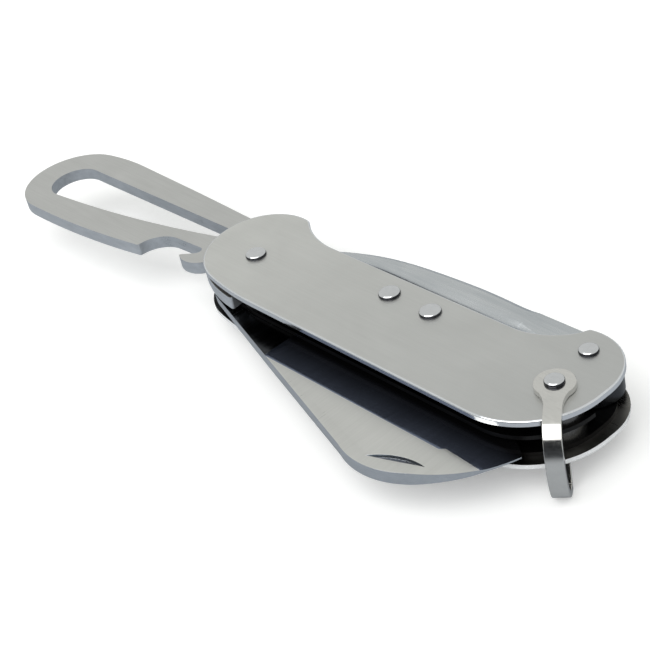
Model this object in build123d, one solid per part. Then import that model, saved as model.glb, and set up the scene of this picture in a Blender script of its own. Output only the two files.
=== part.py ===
from build123d import *
from math import atan2, cos, degrees, radians, sin
import os

# Folding rigging knife: a shackle key and a blade on one pivot, a marlin spike on another, and a bail.
# Sizes are in millimetres. The origin is the middle of the handle's length and width, on the outer face
# of the lower scale. +X runs towards the bail, -Y is the side that the blade folds into, +Z is up
# through the stack of layers.

# Stack of layers, from the bottom up
scale_thickness = 1.2
liner_thickness = 0.92
liner_setback = 2.4
blade_thickness = 2.8
key_thickness = 3.0
side_play = 0.1

# Handle outline
front_y = -11.85
back_y = 11.9
front_left_x = -28.0
nose_radius = 17.1
nose_centre = (36.0, front_y + nose_radius)
crown_radius = 12.1
crown_centre = (nose_centre[0] + nose_radius - crown_radius, 7.7)
crown_sweep = 103.0
notch_foot = (37.1, 17.5)
hollow_right_x = 25.0
hollow_left_x = -28.0
heel_back_centre = (-43.7, 4.4)
heel_back_radius = 12.4
heel_back_start = 79.0
heel_front_radius = 14.9
heel_front_sweep = 79.0
scale_edge_round = 0.35

# Pivots and rivets
tool_pivot_at = (-41.2, 0.75)
spring_rivets_at = [(-4.1, 6.5), (7.9, 6.5)]
spike_pivot_at = (42.6, 14.1)
bail_rivet_at = (44.7, 2.4)
shank_radius = 1.5
head_radius = 2.35
small_head_radius = 2.0
head_height = 0.9
running_clearance = 0.06

# Shackle key, shown open along -X
key_head_centre = (-114.1, -0.5)
key_head_radius = 13.15
key_head_start = 102.0
key_head_foot = (-103.9, 13.6)
key_head_blend = (-110.45, 13.35)
slot_wide_centre = (-113.3, -0.75)
slot_wide_radius = 6.35
slot_narrow_centre = (-57.0, 4.85)
slot_narrow_radius = 1.6
slot_bow_start = (-112.5, -7.0)
slot_bow_middle = (-90.0, -4.1)
slot_bow_end = (-57.0, 3.3)
key_tang_radius = 11.4
key_tang_corner = (-35.9, -11.6)
key_tang_step = (-36.2, -8.0)
key_back_middle = (-80.0, 12.95)
opener_prong = (-60.9, -7.0)
opener_corner = (-73.2, -9.9)
key_corner_round = 0.6
opener_tip_round = 0.25

# Blade, shown folded along +X
blade_tang_radius = 11.0
spine_end = (16.0, -27.7)
blade_shoulder = (31.9, -26.5)
blade_belly = (37.1, -5.7)
nick_start = (22.9, -26.8)
nick_end = (34.4, -22.6)
nick_depth = 0.8
blade_tip = (46.0, -9.5)
edge_heel = (-17.0, -4.6)
bevel_start_x = -18.5
bevel_start_y = -17.6
edge_thickness = 0.3
tip_taper_start_x = 33.0

# Marlin spike, shown folded along the back of the handle
spike_radius = 4.2
spike_axis_y = 17.75
spike_shoulder_x = 24.0
spike_taper_start_x = 12.0
spike_sections_x = [2.0, -8.0, -17.0, -25.0, -31.0]
spike_tip_x = -36.0
spike_hook_start_x = -10.0
spike_hook = 0.0049
spike_taper = 0.88
spike_tang_thickness = 6.6
spike_tang_radius = 6.0
spike_tang_half_width = 2.5
spike_flat_start_x = 21.8
spike_flat_full_x = 27.0
spike_root_x = 36.0
spike_narrow_x = 33.5

# Bail
bail_eye_radius = 4.0
bail_width = 3.5
bail_thickness = 1.3
bail_straight = 9.0
bail_shoulder_radius = 5.0
bail_shoulder_turn = 64.0
bail_back_radius = 15.0
bail_back_turn = 46.0
bail_drop = 4.5
bail_neck = 6.8
eye_side = (1.6, 3.6)
bail_hollow_middle = (4.0, 2.25)
bail_angle = degrees(atan2(-0.781, 0.624))
bush_radius = 4.9

# Heights of each layer
lower_liner_z = scale_thickness
blade_z = lower_liner_z + liner_thickness + side_play
centre_liner_z = blade_z + blade_thickness + side_play
key_z = centre_liner_z + liner_thickness + side_play
upper_liner_z = key_z + key_thickness + side_play
upper_scale_z = upper_liner_z + liner_thickness
stack_top = upper_scale_z + scale_thickness
middle_z = stack_top / 2
bail_outer_top = stack_top + running_clearance + bail_thickness
bail_outer_low = -running_clearance - bail_thickness - bail_drop


def plate(outline, base, thickness):
    """Extrude a closed outline upwards from the height called base."""
    return Pos(0, 0, base) * extrude(make_face(outline), thickness)


def disc(centre, radius, base, height):
    return Pos(centre[0], centre[1], base + height / 2) * Cylinder(radius, height)


def handle_outline():
    nose = CenterArc(nose_centre, nose_radius, 270, 90)
    crown = CenterArc(crown_centre, crown_radius, 0, crown_sweep)
    heel_back = CenterArc(heel_back_centre, heel_back_radius, heel_back_start, 180 - heel_back_start)
    heel_front_centre = (heel_back @ 1) + Vector(heel_front_radius, 0)
    heel_front = CenterArc(heel_front_centre, heel_front_radius, 180, heel_front_sweep)
    edges = [Line((front_left_x, front_y), nose @ 0), nose, Line(nose @ 1, crown @ 0), crown]
    edges += [Line(crown @ 1, notch_foot)]
    edges += [TangentArc((hollow_right_x, back_y), notch_foot, tangent=(1, 0))]
    edges += [Line((hollow_right_x, back_y), (hollow_left_x, back_y))]
    edges += [TangentArc((hollow_left_x, back_y), heel_back @ 0, tangent=(-1, 0))]
    edges += [heel_back, heel_front]
    edges += [TangentArc((front_left_x, front_y), heel_front @ 1, tangent=(-1, 0))]
    return edges


def drill(solid, centres, radius):
    """Cut a hole through the whole stack at each centre."""
    for centre in centres:
        solid -= disc(centre, radius, -20, 60)
    return solid


all_rivets = [tool_pivot_at, *spring_rivets_at, spike_pivot_at, bail_rivet_at]


def scale(base, outer_side):
    body = plate(handle_outline(), base, scale_thickness)
    rim = body.edges().group_by(Axis.Z)[outer_side]
    body = fillet(rim, scale_edge_round)
    return drill(body, all_rivets, shank_radius)


def liner(base, open_for_spike):
    """Thin divider set back from the handle's edge, so that it stays hidden between the scales."""
    face = offset(make_face(handle_outline()), -liner_setback)
    body = Pos(0, 0, base) * extrude(face, liner_thickness)
    if not open_for_spike:
        return drill(body, all_rivets, shank_radius)
    # The spike's tang is as deep as both tool layers, so the centre liner stops short of its sweep.
    body -= Pos(40, 17.4, middle_z) * Box(40, 20, 20)
    body -= Pos(56, 15.6, middle_z) * Box(24, 20, 20)
    return drill(body, [tool_pivot_at, *spring_rivets_at, bail_rivet_at], shank_radius)


def key_outline():
    head = CenterArc(key_head_centre, key_head_radius, key_head_start, 270 - key_head_start)
    tang = CenterArc(tool_pivot_at, key_tang_radius, 109, -124)
    waist = (-53.0, -5.9)
    throat = (-57.9, -4.6)
    arch_right = (-58.8, -2.4)
    arch_left = (-67.0, -2.9)
    edges = [head, ThreePointArc(head @ 0, key_head_blend, key_head_foot)]
    edges += [ThreePointArc(key_head_foot, key_back_middle, tang @ 0), tang]
    edges += [Polyline(tang @ 1, key_tang_step, key_tang_corner)]
    edges += [ThreePointArc(key_tang_corner, (-45.9, -9.5), waist)]
    edges += [ThreePointArc(waist, (-57.3, -8.0), opener_prong)]
    edges += [Line(opener_prong, throat)]
    edges += [ThreePointArc(throat, (-57.4, -3.2), arch_right)]
    edges += [Line(arch_right, arch_left)]
    edges += [ThreePointArc(arch_left, (-71.4, -5.0), opener_corner)]
    edges += [ThreePointArc(opener_corner, (-94.9, -12.8), head @ 1)]
    return edges


def shackle_key():
    body = plate(key_outline(), key_z, key_thickness)
    body = round_upright(body, [key_tang_corner, opener_corner], key_corner_round)
    body = round_upright(body, [opener_prong], opener_tip_round)
    ends = [Pos(*slot_wide_centre) * Circle(slot_wide_radius)]
    ends += [Pos(*slot_narrow_centre) * Circle(slot_narrow_radius)]
    slot = make_hull([edge for end in ends for edge in end.edges()])
    # The near side of the slot bows outwards, away from the back of the key.
    near_side = ThreePointArc(slot_bow_start, slot_bow_middle, slot_bow_end)
    slot += make_face([near_side, Line(slot_bow_end, slot_bow_start)])
    body -= Pos(0, 0, key_z - 1) * extrude(slot, key_thickness + 2)
    return drill(body, [tool_pivot_at], shank_radius + running_clearance)


def round_upright(body, corners, radius):
    """Fillet the upright edges that stand at the given corners."""
    chosen = []
    for edge in body.edges().filter_by(Axis.Z):
        centre = edge.center()
        if any(abs(centre.X - x) < 0.05 and abs(centre.Y - y) < 0.05 for x, y in corners):
            chosen.append(edge)
    return fillet(chosen, radius)


def blade_outline():
    tang = CenterArc(tool_pivot_at, blade_tang_radius, 255, -225)
    edges = [tang, Line(tang @ 0, spine_end)]
    edges += [ThreePointArc(spine_end, (24.2, -29.0), blade_shoulder)]
    edges += [ThreePointArc(blade_shoulder, (40.4, -19.5), blade_tip)]
    edges += [ThreePointArc(blade_tip, (42.2, -6.9), blade_belly)]
    edges += [Line(blade_belly, edge_heel), Line(edge_heel, tang @ 1)]
    return edges


def blade():
    body = plate(blade_outline(), blade_z, blade_thickness)
    middle = blade_z + blade_thickness / 2
    edge_y = edge_heel[1]
    for side in (-1, 1):
        face_z = middle + side * blade_thickness / 2
        thin_z = middle + side * edge_thickness / 2
        section = Polyline((bevel_start_y, face_z), (edge_y, thin_z), (0, thin_z), (0, face_z), close=True)
        wedge = extrude(make_face(Plane.YZ * section), 100)
        body -= Pos(bevel_start_x, 0, 0) * wedge
        taper = [(tip_taper_start_x, face_z), (blade_tip[0], thin_z), (60, thin_z), (60, face_z)]
        body -= extrude(make_face(Plane.XZ * Polyline(*taper, close=True)), 60, both=True)
    nick = ThreePointArc(nick_start, (28.0, -23.5), nick_end)
    nick_face = make_face([nick, ThreePointArc(nick_end, (28.4, -24.9), nick_start)])
    body -= Pos(0, 0, blade_z + blade_thickness - nick_depth) * extrude(nick_face, 1.0)
    return drill(body, [tool_pivot_at], shank_radius + running_clearance)


def spike_section(x):
    """Round section of the spike at x, set square to its gently hooked axis."""
    hooked = max(0.0, spike_hook_start_x - x)
    along = max(0.0, spike_taper_start_x - x) / (spike_taper_start_x - spike_tip_x)
    radius = spike_radius * (1 - spike_taper * along**2)
    slope = 2 * spike_hook * hooked
    centre = (x, spike_axis_y - spike_hook * hooked**2, middle_z)
    return Plane(centre, x_dir=(0, 0, 1), z_dir=(-1, -slope, 0)) * Circle(radius)


def marlin_spike():
    stations = [spike_shoulder_x, spike_taper_start_x, *spike_sections_x, spike_tip_x]
    body = loft([spike_section(station) for station in stations])
    body += round_bar(spike_shoulder_x, spike_root_x)
    # Two flats run out on a slant at the left, and the tang between them carries the pivot.
    half = spike_tang_thickness / 2
    for side in (-1, 1):
        start = (spike_flat_start_x, middle_z + side * spike_radius)
        full = (spike_flat_full_x, middle_z + side * half)
        beyond = middle_z + side * 2 * spike_radius
        cut = Polyline(start, full, (60, full[1]), (60, beyond), (start[0], beyond), close=True)
        body -= extrude(make_face(Plane.XZ * cut), 60, both=True)
    body -= plate(spike_root_cut(), 0, stack_top)
    neck = CenterArc(spike_pivot_at, spike_tang_radius, -112, 202)
    low = spike_axis_y - spike_tang_half_width
    high = spike_axis_y + spike_tang_half_width
    corners = [neck @ 1, (spike_narrow_x, high), (spike_flat_full_x, high)]
    corners += [(spike_flat_full_x, low), (spike_narrow_x, low), neck @ 0]
    body += plate([neck, Polyline(*corners)], middle_z - half, spike_tang_thickness)
    return drill(body, [spike_pivot_at], shank_radius + running_clearance)


def spike_root_cut():
    """What is taken off the round bar's far corner, where it narrows to the tang."""
    high = spike_axis_y + spike_radius
    neck_top = spike_pivot_at[1] + spike_tang_radius
    corners = [(spike_narrow_x, high), (spike_pivot_at[0], neck_top), (spike_pivot_at[0], high + 1)]
    return Polyline(*corners, (spike_narrow_x, high + 1), close=True)


def round_bar(left_x, right_x):
    """Cylinder of the spike's full radius along its axis."""
    middle = Pos((left_x + right_x) / 2, spike_axis_y, middle_z)
    return middle * Rot(0, 90, 0) * Cylinder(spike_radius, right_x - left_x)


def spring(base, thickness):
    """Flat back spring: a bar on two rivets, with an arm towards the tool tangs and one towards the spike."""
    front = [(-28.7, 6.3), (-20, 6.3), (-10, 3.9), (14, 3.9), (22, 5.6), (33.5, 6.2)]
    back = [(33.5, 8.6), (24, 9.8), (16, 11.2), (-12, 11.2), (-26.5, 11.2)]
    body = plate(Polyline(*front, *back, close=True), base, thickness)
    return drill(body, spring_rivets_at, shank_radius)


def rivet(centre, low, high, radius, dome_radius):
    """Shank from low to high with a domed head standing on each end."""
    ball = (dome_radius**2 + head_height**2) / (2 * head_height)
    above_face = Pos(0, 0, head_height) * Cylinder(3 * ball, 2 * head_height)
    dome = Pos(0, 0, head_height - ball) * Sphere(ball) & above_face
    body = disc(centre, radius, low, high - low)
    body += Pos(centre[0], centre[1], high) * dome
    body += Pos(centre[0], centre[1], low) * Rot(180, 0, 0) * dome
    return body


def bail_profile(depth):
    """Side view of the strap at one depth below its outer face, as arcs from the top round to the foot."""
    shoulder_centre = Vector(bail_straight, bail_outer_top - bail_shoulder_radius)
    shoulder_end = 90 - bail_shoulder_turn
    back_end = shoulder_end - bail_back_turn
    back_centre = shoulder_centre + arc_point(bail_shoulder_radius - bail_back_radius, shoulder_end)
    # The last arc brings the strap level with the foot.
    back_end_height = back_centre.Y + arc_point(bail_back_radius, back_end).Y
    foot_radius = (back_end_height - bail_outer_low) / (1 + sin(radians(back_end)))
    foot_centre = back_centre + arc_point(bail_back_radius - foot_radius, back_end)
    shoulder = CenterArc(shoulder_centre, bail_shoulder_radius - depth, 90, -bail_shoulder_turn)
    back = CenterArc(back_centre, bail_back_radius - depth, shoulder_end, -bail_back_turn)
    foot = CenterArc(foot_centre, foot_radius - depth, back_end, -90 - back_end)
    return [Line((0, bail_outer_top - depth), shoulder @ 0), shoulder, back, foot]


def arc_point(radius, angle):
    return Vector(radius * cos(radians(angle)), radius * sin(radians(angle)))


def bail():
    inner_top = stack_top + running_clearance
    eye_top = -running_clearance
    eye_low = eye_top - bail_thickness
    outer = bail_profile(0)
    inner = bail_profile(bail_thickness)
    lower_arm = [Polyline(outer[-1] @ 1, (bail_neck, eye_low), (0, eye_low), (0, eye_top))]
    lower_arm += [Polyline((0, eye_top), (bail_neck, eye_top), inner[-1] @ 1)]
    upper_end = Line(outer[0] @ 0, inner[0] @ 0)
    face = make_face([Plane.XZ * edge for edge in [*outer, *inner, *lower_arm, upper_end]])
    body = extrude(face, bail_width / 2, both=True)
    half = bail_width / 2
    # Each eye draws in to the strap on a hollow curve.
    sides = []
    for side in (1, -1):
        on_eye = (eye_side[0], eye_side[1] * side)
        hollow_middle = (bail_hollow_middle[0], bail_hollow_middle[1] * side)
        sides.append(ThreePointArc(on_eye, hollow_middle, (bail_neck, half * side)))
    ends = [Line(side @ 0, other @ 0) for side, other in [sides]]
    ends += [Line(side @ 1, other @ 1) for side, other in [sides]]
    for eye_base in (inner_top, eye_low):
        body += disc((0, 0), bail_eye_radius, eye_base, bail_thickness)
        body += plate([*sides, *ends], eye_base, bail_thickness)
    body = drill(body, [(0, 0)], shank_radius + running_clearance)
    return Pos(*bail_rivet_at) * Rot(0, 0, bail_angle) * body


def bush(base, height):
    """Spacer ring on the bail's rivet, as tall as one tool layer."""
    return drill(disc(bail_rivet_at, bush_radius, base, height), [bail_rivet_at], shank_radius)


def save(name, shape):
    solids = shape.solids()
    result = solids[0] if len(solids) == 1 else Compound(solids)
    export_step(result, f"parts/{name}.step")
    print(name, len(solids), round(sum(solid.volume for solid in solids), 1))


os.makedirs("parts", exist_ok=True)
save("upper_scale", scale(upper_scale_z, -1))
save("lower_scale", scale(0, 0))
save("upper_liner", liner(upper_liner_z, False))
save("centre_liner", liner(centre_liner_z, True))
save("lower_liner", liner(lower_liner_z, False))
save("shackle_key", shackle_key())
save("blade", blade())
save("marlin_spike", marlin_spike())
key_layer_z = key_z - side_play
key_layer_height = key_thickness + 2 * side_play
blade_layer_z = blade_z - side_play
blade_layer_height = blade_thickness + 2 * side_play
save("key_spring", spring(key_layer_z, key_layer_height))
save("blade_spring", spring(blade_layer_z, blade_layer_height))
save("tool_pivot_rivet", rivet(tool_pivot_at, 0, stack_top, shank_radius, head_radius))
spring_rivets = [rivet(centre, 0, stack_top, shank_radius, head_radius) for centre in spring_rivets_at]
save("spring_rivets", Compound(spring_rivets))
save("spike_pivot_rivet", rivet(spike_pivot_at, 0, stack_top, shank_radius, small_head_radius))
bail_stack = 2 * running_clearance + bail_thickness
save("bail_rivet", rivet(bail_rivet_at, -bail_stack, stack_top + bail_stack, shank_radius, small_head_radius))
save("lower_bail_bush", bush(blade_layer_z, blade_layer_height))
save("upper_bail_bush", bush(key_layer_z, key_layer_height))
save("bail", bail())
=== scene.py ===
import math

import bmesh
import bpy
from mathutils import Matrix, Vector


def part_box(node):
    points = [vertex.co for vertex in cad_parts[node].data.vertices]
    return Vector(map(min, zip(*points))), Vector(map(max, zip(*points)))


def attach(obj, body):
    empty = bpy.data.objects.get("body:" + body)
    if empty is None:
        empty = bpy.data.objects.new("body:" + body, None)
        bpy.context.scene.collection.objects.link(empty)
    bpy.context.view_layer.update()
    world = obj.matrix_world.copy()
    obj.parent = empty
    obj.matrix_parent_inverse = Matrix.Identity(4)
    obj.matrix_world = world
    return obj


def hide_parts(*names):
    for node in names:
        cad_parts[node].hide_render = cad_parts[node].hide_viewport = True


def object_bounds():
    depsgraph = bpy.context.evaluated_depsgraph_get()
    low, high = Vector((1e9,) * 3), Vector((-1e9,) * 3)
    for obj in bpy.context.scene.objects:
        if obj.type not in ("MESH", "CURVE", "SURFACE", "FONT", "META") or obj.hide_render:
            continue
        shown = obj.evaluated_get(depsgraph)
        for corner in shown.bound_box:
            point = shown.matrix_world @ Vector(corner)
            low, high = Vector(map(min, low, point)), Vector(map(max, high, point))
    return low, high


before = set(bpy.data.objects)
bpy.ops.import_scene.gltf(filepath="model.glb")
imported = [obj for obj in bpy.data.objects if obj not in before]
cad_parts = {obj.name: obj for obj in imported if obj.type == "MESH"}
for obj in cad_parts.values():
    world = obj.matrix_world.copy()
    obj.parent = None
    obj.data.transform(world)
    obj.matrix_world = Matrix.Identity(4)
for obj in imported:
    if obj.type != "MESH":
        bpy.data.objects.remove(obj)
cadLow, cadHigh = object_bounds()
mm = 0.001
print("frame loaded:", len(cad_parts), "nodes")


def middleOf(node):
    low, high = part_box(node)
    return (low + high) / 2


def springRivetCentres():
    low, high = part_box("spring_rivets")
    headRadius = (high.y - low.y) / 2
    return [(x, (low.y + high.y) / 2) for x in (low.x + headRadius, high.x - headRadius)]


studio = {
    "viewFrom": (209.462, -152.488, 187.756),  # camera, in mm
    "viewRight": (0.64901164, 0.7343614, -0.19873907),
    "viewForward": (-0.68986859, 0.45795477, -0.56067705),
    "lens": 86.4,  # mm
    "sensor": 36.0,  # mm across
    "clipStart": 0.01,
    "clipEnd": 50.0,
    "floorGap": 0.04,  # mm under the lowest point
    "floorSize": 6.0,
    "floorColour": (0.93, 0.93, 0.93, 1.0),
    "floorRoughness": 0.9,
    "floorLift": 0.2,  # glow that keeps its shadows faint
    "floorInSteel": (0.40, 0.42, 0.45, 1.0),  # how dark the floor looks where steel mirrors it
    "floorFarInSteel": (0.03, 0.032, 0.036, 1.0),
    "floorFarFrom": 0.062,  # metres towards the card, where it starts to darken
    "floorFarTo": 0.10,
    "roomColour": (0.97, 0.985, 0.96, 1.0),
    "roomStrength": 0.68,
    "cardColour": (0.02, 0.022, 0.025, 1.0),
    "cardTowards": (0.40, -0.90, 0.10),  # black card low at the front
    "cardHalfAngle": 19.0,
    "cardSoftness": 4.0,
    "softboxAt": (0.2, -0.75, 0.95),  # metres
    "softboxSize": (1.5, 1.4),
    "softboxPower": 12.0,
}


def feed(tree, socket, value):
    # links a socket to another, or gives it a plain value
    if isinstance(value, bpy.types.NodeSocket):
        tree.links.new(value, socket)
    elif value is not None:
        socket.default_value = value


def addMath(tree, operation, first, second=None):
    node = tree.nodes.new("ShaderNodeMath")
    node.operation = operation
    feed(tree, node.inputs[0], first)
    feed(tree, node.inputs[1], second)
    return node.outputs[0]


def addRange(tree, value, start, end, low=0.0, high=1.0):
    # goes from low to high while the value goes from start to end
    node = tree.nodes.new("ShaderNodeMapRange")
    node.inputs["From Min"].default_value = start
    node.inputs["From Max"].default_value = end
    node.inputs["To Min"].default_value = low
    node.inputs["To Max"].default_value = high
    tree.links.new(value, node.inputs["Value"])
    return node.outputs["Result"]


def addMix(tree, share, first, second):
    # blends two colours, which are the mix node's sockets 6 and 7
    node = tree.nodes.new("ShaderNodeMix")
    node.data_type = "RGBA"
    feed(tree, node.inputs[0], share)
    feed(tree, node.inputs[6], first)
    feed(tree, node.inputs[7], second)
    return node.outputs[2]


def addTowardsCard(tree, place, direction):
    # how far a place lies in the direction of the black card
    node = tree.nodes.new("ShaderNodeVectorMath")
    node.operation = "DOT_PRODUCT"
    node.inputs[1].default_value = Vector(direction).normalized()
    tree.links.new(place, node.inputs[0])
    return node.outputs["Value"]


def addCamera():
    right = Vector(studio["viewRight"]).normalized()
    forward = Vector(studio["viewForward"]).normalized()
    up = right.cross(forward)
    cameraData = bpy.data.cameras.new("studioCamera")
    cameraData.lens = studio["lens"]
    cameraData.sensor_width = studio["sensor"]
    cameraData.clip_start = studio["clipStart"]
    cameraData.clip_end = studio["clipEnd"]
    camera = bpy.data.objects.new("studioCamera", cameraData)
    turn = Matrix((right, up, -forward)).transposed().to_4x4()
    camera.matrix_world = Matrix.Translation(Vector(studio["viewFrom"]) * mm) @ turn
    bpy.context.scene.collection.objects.link(camera)
    bpy.context.scene.camera = camera


def addSoftbox():
    lightData = bpy.data.lights.new("overheadSoftbox", "AREA")
    lightData.shape = "RECTANGLE"
    lightData.size, lightData.size_y = studio["softboxSize"]
    lightData.energy = studio["softboxPower"]
    light = bpy.data.objects.new("overheadSoftbox", lightData)
    light.location = studio["softboxAt"]
    light.rotation_euler = (-Vector(studio["softboxAt"])).to_track_quat("-Z", "Y").to_euler()
    light.visible_camera = False
    bpy.context.scene.collection.objects.link(light)


def addRoom():
    # even pale room with one black card low at the front, which gives rounded steel its dark line
    world = bpy.data.worlds.new("paleRoom")
    bpy.context.scene.world = world
    world.use_nodes = True
    tree = world.node_tree
    background = tree.nodes["Background"]
    background.inputs["Strength"].default_value = studio["roomStrength"]
    direction = tree.nodes.new("ShaderNodeTexCoord").outputs["Generated"]
    towardsCard = addTowardsCard(tree, direction, studio["cardTowards"])
    cardAngle = math.radians(studio["cardHalfAngle"])
    fadeAngle = math.radians(studio["cardHalfAngle"] + studio["cardSoftness"])
    onCard = addRange(tree, towardsCard, math.cos(fadeAngle), math.cos(cardAngle))
    colour = addMix(tree, onCard, studio["roomColour"], studio["cardColour"])
    tree.links.new(colour, background.inputs["Color"])


def addFloor():
    bm = bmesh.new()
    bmesh.ops.create_grid(bm, x_segments=1, y_segments=1, size=studio["floorSize"] / 2)
    floorHeight = cadLow.z - studio["floorGap"] * mm
    bmesh.ops.translate(bm, verts=bm.verts, vec=(0, 0, floorHeight))
    mesh = bpy.data.meshes.new("studioFloor")
    bm.to_mesh(mesh)
    bm.free()
    floor = bpy.data.objects.new("studioFloor", mesh)
    bpy.context.scene.collection.objects.link(floor)
    paper = bpy.data.materials.new("palePaper")
    paper.use_nodes = True
    tree = paper.node_tree
    shader = tree.nodes["Principled BSDF"]
    mirrorRay = tree.nodes.new("ShaderNodeLightPath").outputs["Is Glossy Ray"]
    place = tree.nodes.new("ShaderNodeTexCoord").outputs["Object"]
    towardsCard = addTowardsCard(tree, place, (*studio["cardTowards"][:2], 0.0))
    far = addRange(tree, towardsCard, studio["floorFarFrom"], studio["floorFarTo"])
    inSteel = addMix(tree, far, studio["floorInSteel"], studio["floorFarInSteel"])
    colour = addMix(tree, mirrorRay, studio["floorColour"], inSteel)
    tree.links.new(colour, shader.inputs["Base Color"])
    direct = addMath(tree, "SUBTRACT", 1.0, mirrorRay)
    lift = addMath(tree, "MULTIPLY", direct, studio["floorLift"])
    tree.links.new(lift, shader.inputs["Emission Strength"])
    shader.inputs["Roughness"].default_value = studio["floorRoughness"]
    shader.inputs["Specular IOR Level"].default_value = 0.0
    mesh.materials.append(paper)


addCamera()
addRoom()
addFloor()
addSoftbox()
bpy.context.scene.view_settings.view_transform = "Standard"
print("studio ready")


def startGroup(name, inputs, outputs):
    group = bpy.data.node_groups.new(name, "ShaderNodeTree")
    for label, kind, value in inputs:
        socket = group.interface.new_socket(name=label, in_out="INPUT", socket_type=kind)
        if value is not None:
            socket.default_value = value
    for label in outputs:
        group.interface.new_socket(name=label, in_out="OUTPUT", socket_type="NodeSocketFloat")
    groupIn = group.nodes.new("NodeGroupInput")
    groupOut = group.nodes.new("NodeGroupOutput")
    return group, groupIn, groupOut


def buildBrushedGrain():
    # fine parallel lines: noise drawn out along X
    group, groupIn, groupOut = startGroup(
        "brushedGrain",
        [
            ("Vector", "NodeSocketVector", None),
            ("Along", "NodeSocketFloat", 60.0),
            ("Across", "NodeSocketFloat", 2600.0),
        ],
        ["Grain"],
    )
    stretch = group.nodes.new("ShaderNodeCombineXYZ")
    group.links.new(groupIn.outputs["Along"], stretch.inputs["X"])
    group.links.new(groupIn.outputs["Across"], stretch.inputs["Y"])
    group.links.new(groupIn.outputs["Across"], stretch.inputs["Z"])
    scaled = group.nodes.new("ShaderNodeVectorMath")
    scaled.operation = "MULTIPLY"
    group.links.new(groupIn.outputs["Vector"], scaled.inputs[0])
    group.links.new(stretch.outputs["Vector"], scaled.inputs[1])
    noise = group.nodes.new("ShaderNodeTexNoise")
    noise.inputs["Scale"].default_value = 1.0
    noise.inputs["Detail"].default_value = 4.0
    noise.inputs["Roughness"].default_value = 0.65
    group.links.new(scaled.outputs["Vector"], noise.inputs["Vector"])
    group.links.new(noise.outputs["Fac"], groupOut.inputs["Grain"])
    return group


scratchLook = {
    "layers": ((1.0, 1500.0, 45.0), (-1.6, 1900.0, 70.0)),  # share of the slant, scale across, scale along
    "from": 0.70,  # height of noise where a mark starts to show
    "full": 0.78,
}


def buildFineScratches():
    # a few hairline marks that cross the grain at a slant
    group, groupIn, groupOut = startGroup(
        "fineScratches",
        [
            ("Vector", "NodeSocketVector", None),
            ("Slant", "NodeSocketFloat", 0.5),
            ("Amount", "NodeSocketFloat", 0.5),
        ],
        ["Scratches"],
    )
    total = None
    for turnShare, across, along in scratchLook["layers"]:
        turn = group.nodes.new("ShaderNodeVectorRotate")
        turn.rotation_type = "Z_AXIS"
        group.links.new(groupIn.outputs["Vector"], turn.inputs["Vector"])
        angle = addMath(group, "MULTIPLY", groupIn.outputs["Slant"], turnShare)
        group.links.new(angle, turn.inputs["Angle"])
        scaled = group.nodes.new("ShaderNodeVectorMath")
        scaled.operation = "MULTIPLY"
        scaled.inputs[1].default_value = (along, across, along)
        group.links.new(turn.outputs["Vector"], scaled.inputs[0])
        noise = group.nodes.new("ShaderNodeTexNoise")
        noise.inputs["Scale"].default_value = 1.0
        noise.inputs["Detail"].default_value = 1.0
        group.links.new(scaled.outputs["Vector"], noise.inputs["Vector"])
        line = addRange(group, noise.outputs["Fac"], scratchLook["from"], scratchLook["full"])
        total = line if total is None else addMath(group, "MAXIMUM", total, line)
    shown = addMath(group, "MULTIPLY", total, groupIn.outputs["Amount"])
    group.links.new(shown, groupOut.inputs["Scratches"])
    return group


speckFineness = 55.0  # how much finer the specks are than the smears


def buildHandlingMarks():
    # soft cloudy smears of wiped oil and fingers
    group, groupIn, groupOut = startGroup(
        "handlingMarks",
        [("Vector", "NodeSocketVector", None), ("Size", "NodeSocketFloat", 60.0)],
        ["Smear", "Speck"],
    )
    cloud = group.nodes.new("ShaderNodeTexNoise")
    cloud.inputs["Detail"].default_value = 3.0
    cloud.inputs["Distortion"].default_value = 0.8
    group.links.new(groupIn.outputs["Vector"], cloud.inputs["Vector"])
    group.links.new(groupIn.outputs["Size"], cloud.inputs["Scale"])
    group.links.new(cloud.outputs["Fac"], groupOut.inputs["Smear"])
    speck = group.nodes.new("ShaderNodeTexNoise")
    speck.inputs["Detail"].default_value = 2.0
    group.links.new(groupIn.outputs["Vector"], speck.inputs["Vector"])
    speckSize = addMath(group, "MULTIPLY", groupIn.outputs["Size"], speckFineness)
    group.links.new(speckSize, speck.inputs["Scale"])
    group.links.new(speck.outputs["Fac"], groupOut.inputs["Speck"])
    return group


def buildPressedRing():
    # faint dished ring round a rivet head, 1 on the ring and 0 away from it
    group, groupIn, groupOut = startGroup(
        "pressedRing",
        [
            ("Vector", "NodeSocketVector", None),
            ("Centre", "NodeSocketVector", None),
            ("Radius", "NodeSocketFloat", 0.003),
            ("Width", "NodeSocketFloat", 0.0005),
        ],
        ["Ring"],
    )
    flat = group.nodes.new("ShaderNodeVectorMath")
    flat.operation = "MULTIPLY"
    flat.inputs[1].default_value = (1.0, 1.0, 0.0)
    group.links.new(groupIn.outputs["Vector"], flat.inputs[0])
    distance = group.nodes.new("ShaderNodeVectorMath")
    distance.operation = "DISTANCE"
    group.links.new(flat.outputs["Vector"], distance.inputs[0])
    group.links.new(groupIn.outputs["Centre"], distance.inputs[1])
    offRing = addMath(group, "SUBTRACT", distance.outputs["Value"], groupIn.outputs["Radius"])
    share = addMath(group, "DIVIDE", addMath(group, "ABSOLUTE", offRing), groupIn.outputs["Width"])
    fade = group.nodes.new("ShaderNodeMapRange")
    fade.interpolation_type = "SMOOTHSTEP"
    fade.inputs["From Min"].default_value = 1.0
    fade.inputs["From Max"].default_value = 0.0
    group.links.new(share, fade.inputs["Value"])
    group.links.new(fade.outputs["Result"], groupOut.inputs["Ring"])
    return group


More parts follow.
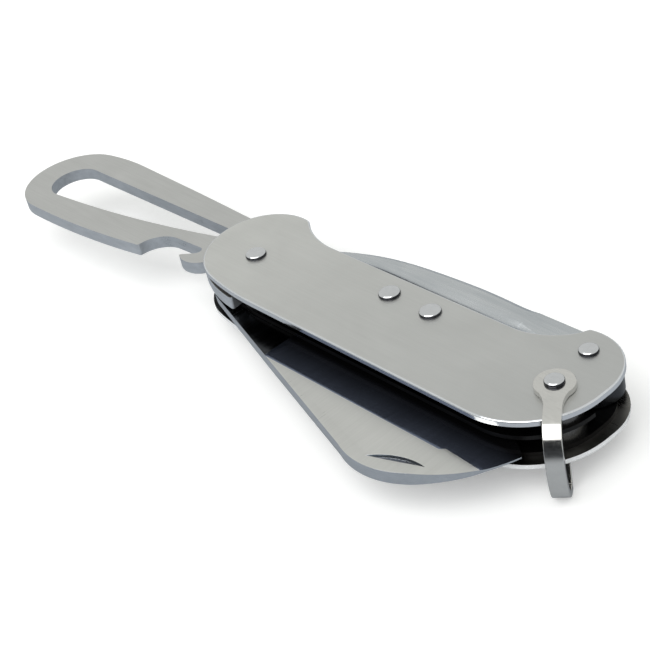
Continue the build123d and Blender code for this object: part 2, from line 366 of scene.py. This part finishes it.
groups = {
    "grain": buildBrushedGrain(),
    "scratches": buildFineScratches(),
    "marks": buildHandlingMarks(),
    "ring": buildPressedRing(),
}
print("shader groups ready")


def placeGroup(tree, key, vector, values):
    node = tree.nodes.new("ShaderNodeGroup")
    node.node_tree = groups[key]
    tree.links.new(vector, node.inputs["Vector"])
    for label, value in values.items():
        node.inputs[label].default_value = value
    return node


def addFade(tree, where, colour, fade):
    # slow change to another colour along one axis, between two places in mm
    axis, start, end, target = fade
    parts = tree.nodes.new("ShaderNodeSeparateXYZ")
    tree.links.new(where, parts.inputs["Vector"])
    share = addRange(tree, parts.outputs[axis], start * mm, end * mm)
    return addMix(tree, share, colour, (*target, 1.0))


steelLook = {
    "maskFrom": 0.3,  # the part of a noise's height that each mask spreads out
    "maskTo": 0.7,
    "scratchSlant": 0.5,
    "smearSize": 60.0,
    "scratchRoughness": 0.12,
    "leastRoughness": 0.03,
    "bumpDistance": 0.001,
}


def spreadMask(tree, mask, low, high):
    return addRange(tree, mask, steelLook["maskFrom"], steelLook["maskTo"], low, high)


def makeSteel(name, finish, rings=()):
    # grain, scratches and smears, each with its own share of colour, roughness and bump
    material = bpy.data.materials.new(name)
    material.use_nodes = True
    tree = material.node_tree
    shader = tree.nodes["Principled BSDF"]
    shader.inputs["Metallic"].default_value = finish.get("metallic", 1.0)
    where = tree.nodes.new("ShaderNodeTexCoord").outputs["Object"]
    grainScales = {"Along": finish["along"], "Across": finish["across"]}
    grain = placeGroup(tree, "grain", where, grainScales).outputs["Grain"]
    scratchValues = {"Slant": steelLook["scratchSlant"], "Amount": finish["scratches"]}
    scratches = placeGroup(tree, "scratches", where, scratchValues).outputs["Scratches"]
    marks = placeGroup(tree, "marks", where, {"Size": steelLook["smearSize"]})
    smear = marks.outputs["Smear"]
    grainLight = spreadMask(tree, grain, 0.0, finish["grainTone"])
    smearLight = spreadMask(tree, smear, 0.0, finish["smearTone"])
    lightness = addMath(tree, "ADD", grainLight, smearLight)
    colour = addMix(tree, lightness, (*finish["dark"], 1.0), (*finish["light"], 1.0))
    if "fade" in finish:
        colour = addFade(tree, where, colour, finish["fade"])
    tree.links.new(colour, shader.inputs["Base Color"])
    low, high = finish["roughness"]
    grainRough = spreadMask(tree, grain, low, high)
    smearRough = spreadMask(tree, smear, -finish["smearRough"], finish["smearRough"])
    roughness = addMath(tree, "ADD", grainRough, smearRough)
    scratchRough = addMath(tree, "MULTIPLY", scratches, steelLook["scratchRoughness"])
    roughness = addMath(tree, "ADD", roughness, scratchRough)
    grainHeight = addMath(tree, "MULTIPLY", grain, finish["grainHeight"])
    scratchHeight = addMath(tree, "MULTIPLY", scratches, -finish["scratchHeight"])
    height = addMath(tree, "ADD", grainHeight, scratchHeight)
    speckHeight = addMath(tree, "MULTIPLY", marks.outputs["Speck"], finish["speckHeight"])
    height = addMath(tree, "ADD", height, speckHeight)
    for centre, radius in rings:
        ringShape = {"Centre": centre, "Radius": radius, "Width": finish["ringWidth"]}
        ring = placeGroup(tree, "ring", where, ringShape).outputs["Ring"]
        dip = addMath(tree, "MULTIPLY", ring, finish["ringDepth"])
        height = addMath(tree, "SUBTRACT", height, dip)
        shine = addMath(tree, "MULTIPLY", ring, finish["ringShine"])
        roughness = addMath(tree, "SUBTRACT", roughness, shine)
    roughness = addMath(tree, "MAXIMUM", roughness, steelLook["leastRoughness"])
    tree.links.new(roughness, shader.inputs["Roughness"])
    bump = tree.nodes.new("ShaderNodeBump")
    bump.inputs["Distance"].default_value = steelLook["bumpDistance"]
    bump.inputs["Strength"].default_value = 1.0
    tree.links.new(height, bump.inputs["Height"])
    tree.links.new(bump.outputs["Normal"], shader.inputs["Normal"])
    return material


finishes = {
    "scaleSatin": {
        "dark": (0.68, 0.68, 0.66), "light": (0.77, 0.77, 0.75), "roughness": (0.34, 0.42),
        "fade": ("X", -60.0, 190.0, (0.44, 0.45, 0.46)),
        "along": 90.0, "across": 2600.0, "grainTone": 0.5, "smearTone": 0.5, "smearRough": 0.015,
        "scratches": 0.25, "grainHeight": 0.0012, "scratchHeight": 0.0006, "speckHeight": 0.0006,
        "ringWidth": 0.0006, "ringDepth": 0.010, "ringShine": 0.05,
    },
    "polishedRim": {
        "dark": (0.76, 0.78, 0.81), "light": (0.90, 0.92, 0.95), "roughness": (0.08, 0.15),
        "along": 200.0, "across": 3000.0, "grainTone": 0.5, "smearTone": 0.5, "smearRough": 0.02,
        "scratches": 0.2, "grainHeight": 0.0006, "scratchHeight": 0.0004, "speckHeight": 0.0003,
    },
    # painted light: a lighter, less metallic copy of the polished rim, standing in for the floor's light
    # on the lower scale's edge
    "lowerRimPaintedLight": {
        "dark": (0.74, 0.75, 0.76), "light": (0.88, 0.89, 0.90), "roughness": (0.18, 0.28),
        "metallic": 0.30,
        "along": 200.0, "across": 3000.0, "grainTone": 0.5, "smearTone": 0.5, "smearRough": 0.02,
        "scratches": 0.2, "grainHeight": 0.0006, "scratchHeight": 0.0004, "speckHeight": 0.0003,
    },
    "shadedInside": {
        "dark": (0.022, 0.022, 0.024), "light": (0.048, 0.046, 0.044), "roughness": (0.24, 0.36),
        "fade": ("X", 42.0, 56.0, (0.34, 0.33, 0.31)),
        "along": 90.0, "across": 1800.0, "grainTone": 0.5, "smearTone": 0.6, "smearRough": 0.06,
        "scratches": 0.5, "grainHeight": 0.001, "scratchHeight": 0.0008, "speckHeight": 0.0008,
    },
    # painted shade: the liners' steel made near black to stand for the shade between the scales
    "linerPaintedShade": {
        "dark": (0.016, 0.016, 0.018), "light": (0.036, 0.035, 0.034), "roughness": (0.28, 0.40),
        "along": 90.0, "across": 1800.0, "grainTone": 0.5, "smearTone": 0.6, "smearRough": 0.05,
        "scratches": 0.5, "grainHeight": 0.001, "scratchHeight": 0.0008, "speckHeight": 0.0008,
    },
    # painted shade: the springs' steel made darker than the other steel, for the shade inside the handle
    "springPaintedShade": {
        "dark": (0.16, 0.16, 0.165), "light": (0.26, 0.26, 0.265), "roughness": (0.26, 0.38),
        "along": 80.0, "across": 2000.0, "grainTone": 0.5, "smearTone": 0.5, "smearRough": 0.04,
        "scratches": 0.4, "grainHeight": 0.0014, "scratchHeight": 0.0008, "speckHeight": 0.0006,
    },
    # painted shade: the bushes' steel darkened for the little light that reaches between the scales
    "bushPaintedShade": {
        "dark": (0.10, 0.10, 0.10), "light": (0.18, 0.175, 0.17), "roughness": (0.20, 0.30),
        "along": 2400.0, "across": 120.0, "grainTone": 0.5, "smearTone": 0.5, "smearRough": 0.03,
        "scratches": 0.2, "grainHeight": 0.0010, "scratchHeight": 0.0004, "speckHeight": 0.0004,
    },
    "keyFace": {
        "dark": (0.58, 0.58, 0.57), "light": (0.68, 0.68, 0.67), "roughness": (0.33, 0.42),
        "along": 70.0, "across": 2200.0, "grainTone": 0.6, "smearTone": 0.4, "smearRough": 0.02,
        "scratches": 0.3, "grainHeight": 0.0016, "scratchHeight": 0.0008, "speckHeight": 0.0005,
    },
    # painted shade and reflection: the key's side walls darker and bluer than its faces, for the shaded
    # floor they mirror
    "keyEdgePaintedShade": {
        "dark": (0.40, 0.43, 0.46), "light": (0.56, 0.59, 0.63), "roughness": (0.28, 0.40),
        "metallic": 0.75,
        "along": 260.0, "across": 900.0, "grainTone": 0.6, "smearTone": 0.4, "smearRough": 0.03,
        "scratches": 0.2, "grainHeight": 0.0014, "scratchHeight": 0.0006, "speckHeight": 0.0005,
    },
    "bladeFlat": {
        "dark": (0.64, 0.64, 0.62), "light": (0.74, 0.74, 0.72), "roughness": (0.27, 0.36),
        "along": 2200.0, "across": 70.0, "grainTone": 0.5, "smearTone": 0.5, "smearRough": 0.02,
        "scratches": 0.25, "grainHeight": 0.0012, "scratchHeight": 0.0006, "speckHeight": 0.0004,
    },
    # painted reflection: dark navy ground faces, fading to near black towards the cutting edge, for the
    # handle's dark inside mirrored in the hollow
    "bladeGrindPaintedReflection": {
        "dark": (0.13, 0.15, 0.21), "light": (0.24, 0.28, 0.38), "roughness": (0.07, 0.16),
        "metallic": 0.84,
        "fade": ("Y", -17.6, -9.5, (0.015, 0.015, 0.018)),
        "along": 2600.0, "across": 60.0, "grainTone": 0.5, "smearTone": 0.5, "smearRough": 0.02,
        "scratches": 0.2, "grainHeight": 0.0010, "scratchHeight": 0.0006, "speckHeight": 0.0003,
    },
    "tangShade": {
        "dark": (0.022, 0.023, 0.026), "light": (0.10, 0.105, 0.115), "roughness": (0.16, 0.30),
        "along": 1500.0, "across": 45.0, "grainTone": 0.5, "smearTone": 0.5, "smearRough": 0.03,
        "scratches": 0.4, "grainHeight": 0.001, "scratchHeight": 0.0008, "speckHeight": 0.0004,
    },
    "rivetShade": {
        "dark": (0.020, 0.021, 0.025), "light": (0.07, 0.072, 0.08), "roughness": (0.12, 0.24),
        "along": 900.0, "across": 900.0, "grainTone": 0.5, "smearTone": 0.5, "smearRough": 0.03,
        "scratches": 0.2, "grainHeight": 0.001, "scratchHeight": 0.0004, "speckHeight": 0.0004,
    },
    "nickShade": {
        "dark": (0.03, 0.032, 0.038), "light": (0.09, 0.095, 0.11), "roughness": (0.16, 0.26),
        "along": 900.0, "across": 900.0, "grainTone": 0.5, "smearTone": 0.5, "smearRough": 0.03,
        "scratches": 0.2, "grainHeight": 0.001, "scratchHeight": 0.0004, "speckHeight": 0.0004,
    },
    # painted shade and reflection: the blade's upright edges darker and bluer than its flats, for the
    # mid-grey surroundings they mirror
    "bladeEdgePaintedShade": {
        "dark": (0.50, 0.53, 0.56), "light": (0.66, 0.69, 0.73), "roughness": (0.16, 0.24),
        "along": 120.0, "across": 1200.0, "grainTone": 0.5, "smearTone": 0.5, "smearRough": 0.03,
        "scratches": 0.2, "grainHeight": 0.0006, "scratchHeight": 0.0004, "speckHeight": 0.0004,
    },
    "spikeSteel": {
        "dark": (0.52, 0.55, 0.58), "light": (0.68, 0.70, 0.72), "roughness": (0.20, 0.28),
        "along": 30.0, "across": 620.0, "grainTone": 0.6, "smearTone": 0.4, "smearRough": 0.03,
        "scratches": 0.3, "grainHeight": 0.0012, "scratchHeight": 0.0008, "speckHeight": 0.0005,
    },
    "bailSteel": {
        "dark": (0.68, 0.67, 0.65), "light": (0.82, 0.81, 0.78), "roughness": (0.12, 0.18),
        "along": 300.0, "across": 1800.0, "grainTone": 0.5, "smearTone": 0.5, "smearRough": 0.02,
        "scratches": 0.2, "grainHeight": 0.0008, "scratchHeight": 0.0004, "speckHeight": 0.0004,
    },
    "rivetSteel": {
        "dark": (0.66, 0.67, 0.69), "light": (0.78, 0.79, 0.81), "roughness": (0.10, 0.18),
        "along": 900.0, "across": 900.0, "grainTone": 0.5, "smearTone": 0.5, "smearRough": 0.02,
        "scratches": 0.3, "grainHeight": 0.0010, "scratchHeight": 0.0004, "speckHeight": 0.0006,
    },
}


ringGaps = {"tool": 0.75, "spike": 0.3}  # mm from a rivet head's side to the middle of its ring


def rivetRings():
    # centre and radius of the pressed ring round each rivet head on the scales
    low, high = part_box("tool_pivot_rivet")
    headRadius = (high.x - low.x) / 2
    places = [tuple(middleOf("tool_pivot_rivet").xy)] + springRivetCentres()
    rings = [((*place, 0.0), headRadius + ringGaps["tool"] * mm) for place in places]
    spikePlace = tuple(middleOf("spike_pivot_rivet").xy)
    rings.append(((*spikePlace, 0.0), headRadius + ringGaps["spike"] * mm))
    return rings


steels = {name: makeSteel(name, finish, rivetRings() if name == "scaleSatin" else ())
          for name, finish in finishes.items()}
print("materials ready:", len(steels))


touching = 0.001 * mm  # points nearer than this are one point
near = 0.01 * mm  # heights nearer than this are level
cutReach = 0.0005 * mm  # points nearer a cutting plane than this lie on it


def mergedCopy(node, flattenAngle=0.4):
    # the node's mesh with its loose triangles joined and its flats made whole again
    bm = bmesh.new()
    bm.from_mesh(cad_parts[node].data)
    bmesh.ops.remove_doubles(bm, verts=bm.verts, dist=touching)
    if flattenAngle:
        flatter = math.radians(flattenAngle)
        bmesh.ops.dissolve_limit(bm, angle_limit=flatter, verts=bm.verts, edges=bm.edges)
    return bm


def cutThrough(bm, place, square):
    # adds edges where a plane crosses the piece, and takes nothing away
    everything = bm.verts[:] + bm.edges[:] + bm.faces[:]
    bmesh.ops.bisect_plane(bm, geom=everything, dist=cutReach, plane_co=place, plane_no=square)


def roundEdges(bm, edges, width, segments):
    bmesh.ops.bevel(bm, geom=edges, offset=width * mm, offset_type="OFFSET", affect="EDGES",
                    segments=segments, profile=0.5, material=-1, clamp_overlap=True)


def easeEdges(bm, width, segments, minAngle=30.0, keep=None):
    # rounds every edge sharper than minAngle, or only those of them that keep(edge) picks
    least = math.radians(minAngle)
    sharp = [edge for edge in bm.edges if edge.is_manifold and edge.calc_face_angle(0.0) > least]
    if keep:
        sharp = [edge for edge in sharp if keep(edge)]
    roundEdges(bm, sharp, width, segments)


def addPiece(bm, name, node, body, materialNames, choose, smoothAngle=28.0):
    # choose(face) gives the number of the face's material in materialNames
    bm.normal_update()
    for face in bm.faces:
        face.smooth = True
        face.material_index = choose(face)
    for edge in bm.edges:
        edge.smooth = edge.is_manifold and edge.calc_face_angle(0.0) < math.radians(smoothAngle)
    mesh = bpy.data.meshes.new(name)
    bm.to_mesh(mesh)
    bm.free()
    for materialName in materialNames:
        mesh.materials.append(steels[materialName])
    piece = bpy.data.objects.new(name, mesh)
    bpy.context.scene.collection.objects.link(piece)
    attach(piece, body)
    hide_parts(node)
    return piece


def flatShadeWeights(piece):
    # keeps big flats flat beside their rounded edges
    weights = piece.modifiers.new("flatWeights", "WEIGHTED_NORMAL")
    weights.keep_sharp = True
    return piece


scaleLook = {"flatNormal": 0.999}  # a face is one of the two flats if its normal's Z is more than this


def buildScale(node, name, outwards):
    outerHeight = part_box(node)[1 if outwards > 0 else 0].z
    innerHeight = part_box(node)[0 if outwards > 0 else 1].z

    def choose(face):
        height = face.calc_center_median().z
        if abs(face.normal.z) > scaleLook["flatNormal"] and abs(height - outerHeight) < near:
            return 0
        if abs(face.normal.z) > scaleLook["flatNormal"] and abs(height - innerHeight) < near:
            return 2
        return 1

    bm = mergedCopy(node)
    # the lower scale's rim gets the copy with painted light
    rim = "polishedRim" if outwards > 0 else "lowerRimPaintedLight"
    names = ["scaleSatin", rim, "shadedInside"]
    piece = addPiece(bm, name, node, "handle", names, choose)
    return flatShadeWeights(piece)


keyLook = {"edgeRound": 0.16, "edgeSegments": 2, "faceNormal": 0.5}


def buildKey():
    bm = mergedCopy("shackle_key")
    easeEdges(bm, keyLook["edgeRound"], keyLook["edgeSegments"])

    def choose(face):
        return 0 if abs(face.normal.z) > keyLook["faceNormal"] else 1

    names = ["keyFace", "keyEdgePaintedShade"]
    piece = addPiece(bm, "shackleKey", "shackle_key", "shackle_key", names, choose)
    return flatShadeWeights(piece)


bladeLook = {
    "grindStart": -17.6,  # mm in Y, where the hollow begins
    "grindEnd": -4.6,  # mm in Y, the cutting edge
    "grindFromX": -18.5,
    "hollowDepth": 0.42,
    "hollowShare": 0.6,  # most of the metal outside the cutting edge that the hollow may take
    "edgeHalf": 0.15,  # half of the cutting edge's thickness
    "keepHalf": 0.12,  # nothing nearer the middle than this is hollowed
    "strips": 14,
    "flatSlack": 0.005,  # points this near the flats are left alone
    "edgeRound": 0.22,
    "edgeSegments": 3,
    "rimReach": 1.0,  # how far past the start of the grind the outer edge is rounded
    "uprightNormal": 0.3,
    "levelNormal": 0.9999,
    "faceNormal": 0.9,
    "nickDepth": 0.8,
    "tangLine": (0.26, 0.965, 0.0),  # square to the line where the tang's shade starts
}


def hollowGrind(bm, middle, halfBack, start, end):
    # draws the ground faces in between their two long edges
    fromX = bladeLook["grindFromX"] * mm - near
    ground = [vert for vert in bm.verts
              if vert.co.x > fromX and vert.co.y > start + near
              and bladeLook["keepHalf"] * mm < abs(vert.co.z - middle) < halfBack]
    for vert in ground:
        share = min(1.0, (vert.co.y - start) / (end - start))
        room = max(abs(vert.co.z - middle) - bladeLook["edgeHalf"] * mm, 0.0)
        depth = bladeLook["hollowDepth"] * mm * math.sin(math.pi * share)
        pull = min(depth, bladeLook["hollowShare"] * room)
        vert.co.z -= math.copysign(pull, vert.co.z - middle)


def buildBlade():
    bm = mergedCopy("blade")
    low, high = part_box("blade")
    middle = (low.z + high.z) / 2
    halfBack = (high.z - low.z) / 2 - bladeLook["flatSlack"] * mm
    start = bladeLook["grindStart"] * mm
    end = bladeLook["grindEnd"] * mm
    grindX = bladeLook["grindFromX"] * mm
    for strip in range(1, bladeLook["strips"]):
        cut = start + (end - start) * strip / bladeLook["strips"]
        cutThrough(bm, (0, cut, 0), (0, 1, 0))
    hollowGrind(bm, middle, halfBack, start, end)
    tangEnd = Vector((grindX, start, 0))
    tangLine = Vector(bladeLook["tangLine"])
    cutThrough(bm, tangEnd, (1, 0, 0))
    cutThrough(bm, tangEnd, tangLine)
    bm.normal_update()

    def isOuterRim(edge):
        tilts = [abs(face.normal.z) for face in edge.link_faces]
        upright = [tilt for tilt in tilts if tilt < bladeLook["uprightNormal"]]
        level = [tilt for tilt in tilts if tilt > bladeLook["levelNormal"]]
        spot = (edge.verts[0].co + edge.verts[1].co) / 2
        return len(upright) == 1 and len(level) == 1 and spot.y < start + bladeLook["rimReach"] * mm

    easeEdges(bm, bladeLook["edgeRound"], bladeLook["edgeSegments"], keep=isOuterRim)

    def choose(face):
        spot = face.calc_center_median()
        if abs(face.normal.z) < bladeLook["faceNormal"]:
            return 2
        if spot.x > grindX and spot.y > start and abs(spot.z - middle) < halfBack:
            return 1
        if spot.x < grindX and (spot - tangEnd).dot(tangLine) > 0:
            return 4
        return 3 if abs(spot.z - high.z + bladeLook["nickDepth"] * mm) < near else 0

    names = ["bladeFlat", "bladeGrindPaintedReflection", "bladeEdgePaintedShade", "nickShade", "tangShade"]
    return addPiece(bm, "sheepfootBlade", "blade", "blade", names, choose)


spikeLook = {
    "shadeFromX": 39.0,  # mm in X, where the tang lies between the liners
    "smoothAngle": 35.0,
}


def buildSpike():
    bm = mergedCopy("marlin_spike", 0)

    def choose(face):
        return 1 if face.calc_center_median().x > spikeLook["shadeFromX"] * mm else 0

    return addPiece(bm, "marlinSpike", "marlin_spike", "marlin_spike",
                    ["spikeSteel", "tangShade"], choose, spikeLook["smoothAngle"])


bailLook = {
    "edgeRound": 0.28,
    "edgeSegments": 3,
    "edgeAngle": 40.0,
    "direction": (0.624, -0.781, 0.0),  # from its rivet towards the strap
    "innerNormal": -0.3,
    "innerArea": 2.0e-7,  # square metres; smaller faces belong to the rounded edges
}


def buildBail():
    bm = mergedCopy("bail")
    easeEdges(bm, bailLook["edgeRound"], bailLook["edgeSegments"], bailLook["edgeAngle"])
    outwards = Vector(bailLook["direction"])

    def choose(face):
        inward = face.normal.dot(outwards) < bailLook["innerNormal"]
        return 1 if inward and face.calc_area() > bailLook["innerArea"] else 0

    piece = addPiece(bm, "bailStrap", "bail", "bail", ["bailSteel", "rivetShade"], choose)
    return flatShadeWeights(piece)


rivetLook = {
    "headHeight": 0.9,
    "shankRadius": 1.5,
    "shankOverlap": 0.05,  # how far the shank reaches into each head
    "edgeRound": 0.6,
    "edgeSegments": 8,
    "crown": 0.09,
    "sides": 64,
    "shadeBelow": 0.5,  # steeper faces than this are dark
    "smoothAngle": 50.0,
}


def addTurned(bm, centre, radius, bottom, top):
    # a closed upright cylinder; gives back its new verts
    place = Matrix.Translation((*centre, (bottom + top) / 2))
    turned = bmesh.ops.create_cone(bm, cap_ends=True, segments=rivetLook["sides"], radius1=radius,
                                   radius2=radius, depth=top - bottom, matrix=place)
    return turned["verts"]


def addHead(bm, centre, radius, base, outwards):
    # button head: rounded shoulder and a slightly crowned top, standing outwards from base
    top = base + outwards * (rivetLook["headHeight"] - rivetLook["crown"]) * mm
    verts = addTurned(bm, centre, radius, min(base, top), max(base, top))
    rim = [edge for edge in bm.edges
           if all(vert in verts and abs(vert.co.z - top) < touching for vert in edge.verts)]
    roundEdges(bm, rim, rivetLook["edgeRound"], rivetLook["edgeSegments"])
    bm.normal_update()
    lids = [face for face in bm.faces
            if len(face.verts) == rivetLook["sides"] and abs(face.calc_center_median().z - top) < touching]
    poked = bmesh.ops.poke(bm, faces=lids)
    for vert in poked["verts"]:
        vert.co.z += outwards * rivetLook["crown"] * mm


def buildRivet(node, name, centres):
    low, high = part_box(node)
    radius = (high.y - low.y) / 2
    bottom = low.z + rivetLook["headHeight"] * mm
    top = high.z - rivetLook["headHeight"] * mm
    overlap = rivetLook["shankOverlap"] * mm
    bm = bmesh.new()
    for centre in centres:
        addTurned(bm, centre, rivetLook["shankRadius"] * mm, bottom - overlap, top + overlap)
        addHead(bm, centre, radius, top, 1)
        addHead(bm, centre, radius, bottom, -1)

    def choose(face):
        return 1 if abs(face.normal.z) < rivetLook["shadeBelow"] else 0

    return addPiece(bm, name, node, "handle", ["rivetSteel", "rivetShade"], choose,
                    rivetLook["smoothAngle"])


buildScale("upper_scale", "upperScale", 1)
buildScale("lower_scale", "lowerScale", -1)
print("scales ready")
buildKey()
buildBlade()
buildSpike()
buildBail()
print("tools and bail ready")
buildRivet("spring_rivets", "springRivets", springRivetCentres())
for node, name in (("tool_pivot_rivet", "toolPivotRivet"), ("spike_pivot_rivet", "spikePivotRivet"),
                   ("bail_rivet", "bailRivet")):
    buildRivet(node, name, [tuple(middleOf(node).xy)])
print("rivets ready")

# parts inside the handle get steels darkened with painted shade
innerFinish = {
    "upper_liner": "linerPaintedShade", "centre_liner": "linerPaintedShade", "lower_liner": "linerPaintedShade",
    "key_spring": "springPaintedShade", "blade_spring": "springPaintedShade",
    "upper_bail_bush": "bushPaintedShade", "lower_bail_bush": "bushPaintedShade",
}
for node, finishName in innerFinish.items():
    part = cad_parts[node]
    part.data.materials.clear()
    part.data.materials.append(steels[finishName])
print("inner parts ready")
